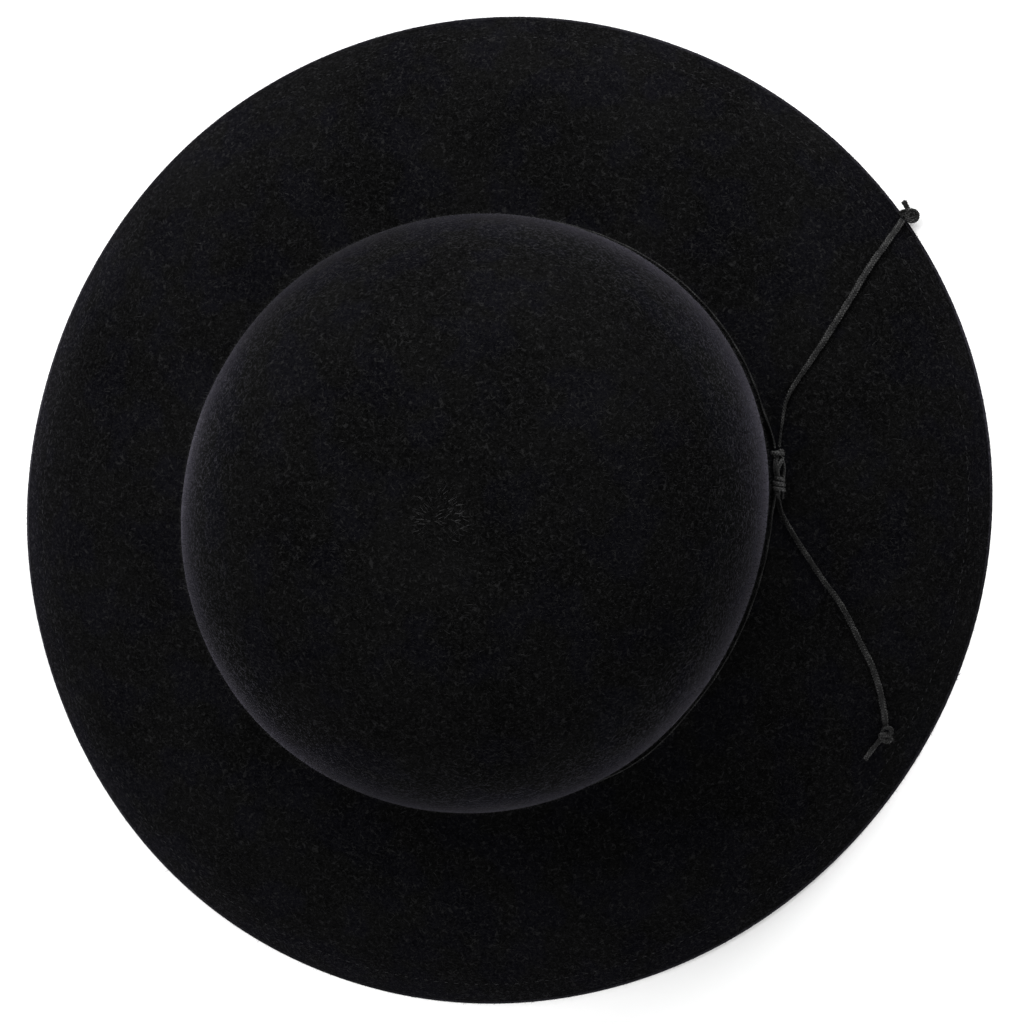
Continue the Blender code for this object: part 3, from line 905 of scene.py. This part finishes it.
FELT_SIZES = {
    "Head circumference": HEAD_CIRCUMFERENCE, "Felt thickness": FELT_THICKNESS, "Crown height": CROWN_HEIGHT,
    "Brim width": BRIM_WIDTH, "Brim drop": BRIM_DROP, "Unevenness": 0.0002,
}
felt = felt_material("black wool felt of the crown", 0.086, 0.245, 0.45)
brim_felt = felt_material("black wool felt of the brim", 0.115, 0.28, 0.33)
cut_felt = felt_material("cut edge of the felt", 0.035, 0.27, 0.33)
felt_nodes = felt_tree(felt, brim_felt, cut_felt, FELT_SIZES)
hat_felt = grow("hat_felt", bpy.data.meshes.new("felt"), felt_nodes, FELT_SIZES)
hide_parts("felt_body")

# The raised fibres' colour is painted lighter than the felt's ground: painted sheen of black wool fibres.
nap = plain_material("raised wool fibres", (0.0073, 0.0073, 0.0080), 0.8, specular_ior_level=0.05)[0]
# These fibres' colour is painted several times lighter than the felt's: painted sheen of the wool, used for
# the tip's swirl, the fuzz at the crown's outline and the stray hairs.
sheen_painted_fibres = plain_material("wool fibres painted light for their sheen", (0.020, 0.020, 0.0205), 0.8, specular_ior_level=0.05)[0]
NAP_SIZES = {
    "Density": 700000.0, "Length": 0.0013, "Width": 0.00011, "Stand": 0.6, "Curl": 0.0007, "Radial": 0.0,
    "Rows": 3, "Reach": 1.0, "From share": -1.0, "To share": 2.0, "Seed": 3, "Thinner on slopes": 0.0,
}
nap_nodes = nap_tree(nap, NAP_SIZES)
sheen_painted_fibre_nodes = nap_tree(sheen_painted_fibres, NAP_SIZES)
nap_density = 980000.0 * 1.0
for name, nodes, changes in (
    ("crown_nap", nap_nodes, {"To share": BRIM_NAP_START, "Density": nap_density, "Thinner on slopes": 0.65}),
    ("brim_nap", nap_nodes, {"From share": BRIM_NAP_START, "Density": nap_density, "Thinner on slopes": 0.7,
                             "Seed": 7}),
    ("edge_fuzz", nap_nodes, {"From share": EDGE_FUZZ_START, "Density": 3200000.0, "Length": 0.0010,
                              "Width": 0.00008, "Seed": 11}),
    ("crown_fuzz", sheen_painted_fibre_nodes, {"To share": BRIM_NAP_START, "Density": 170000.0, "Stand": 2.6,
                               "Length": 0.0015, "Width": 0.00008, "Seed": 17}),
    ("tip_fibres", sheen_painted_fibre_nodes, {"Reach": 0.0040, "Radial": 1.8, "Stand": 0.3, "Length": 0.0032, "Rows": 5,
                               "Density": 2600000.0, "Seed": 5, "Width": 0.00020, "Curl": 0.0011}),
    ("stray_hairs", sheen_painted_fibre_nodes, {"Stand": 0.3, "Length": 0.0036, "Width": 0.00011, "Curl": 0.0028, "Rows": 7,
                                "Density": 9000.0, "Seed": 13}),
):
    grow(name, hat_felt.data.copy(), nodes, {**NAP_SIZES, **changes})

cord = cord_material("charcoal braided cord", 0.034, 0.13)
# The tied knot is the same cord as the free ends, with its colour painted lighter (painted light) and its
# gloss higher.
knot_cord = cord_material("lighter cord of the tied knot", 0.042, 0.3)
BRAID_SIZES = {
    "Width": CORD_WIDTH, "Thickness": CORD_THICKNESS, "Yarn width": 0.00055, "Yarn thickness": 0.00028,
    "Pitch": 0.0042, "Weave": 0.00013, "Groove": 0.45, "Spacing": 0.00026,
}
braid_nodes = braid_tree(cord, BRAID_SIZES)
knot_nodes = braid_tree(knot_cord, BRAID_SIZES)


def braided(name, lines, node, changes=None, nodes=braid_nodes):
    """Braided cord along lines, in place of a node of the part."""
    piece = grow(name, line_mesh(name, lines), nodes, {**BRAID_SIZES, **(changes or {})})
    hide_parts(node)
    return piece


braided("crown_cord", [thinned(band_line(), LINE_SPACING)], "band_cord", {"Spacing": 0.0005})
KNOT_CORD = {
    "Width": 0.0018, "Thickness": 0.0012, "Yarn width": 0.0005, "Yarn thickness": 0.00028, "Pitch": 0.0036,
}
braided("tied_knot", tied_knot_lines(), "slide_knot", KNOT_CORD, knot_nodes)
for side, route, rolls, length, bends in (
    ("upper", UPPER_ROUTE, (90, 45, 0, 0, 0), UPPER_LENGTH, UPPER_KNOT),
    ("lower", LOWER_ROUTE, (60, 50, 45, 35, 20), LOWER_LENGTH, LOWER_KNOT),
):
    line = thinned(tail_line(route, [radians(roll) for roll in rolls], length), LINE_SPACING)
    middle = lay(*route[-1], CORD_DIAMETER * END_KNOT_WIDTH / 2 + CORD_GAP - MILLIMETRE)
    knot_lines = end_knot_lines(middle + KNOT_SHIFT[side], brim_normal(*route[-1]), bends)
    knot = braided(side + "_knot_of_cord", knot_lines, side + "_end_knot", KNOT_CORD)
    tail = braided(side + "_free_end", [line], side + "_tail")
    path = [point for point, _ in line]
    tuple(path[0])

stitch = plain_material("black sewing thread", (0.009, 0.009, 0.010), 0.6, specular_ior_level=0.12)[0]
STITCH_SIZES = {"Spacing": 0.0034, "Stitch length": 0.0017, "Thread": 0.00028, "Seed": 2}
ring = [
    (lay(2 * pi * i / BAND_STEPS, STITCH_LINE, STITCH_CLEARANCE), Vector((0, 0, 1)))
    for i in range(BAND_STEPS + 1)
]
grow("edge_stitches", line_mesh("edge_stitches", [ring]), stitch_tree(stitch, STITCH_SIZES), STITCH_SIZES)
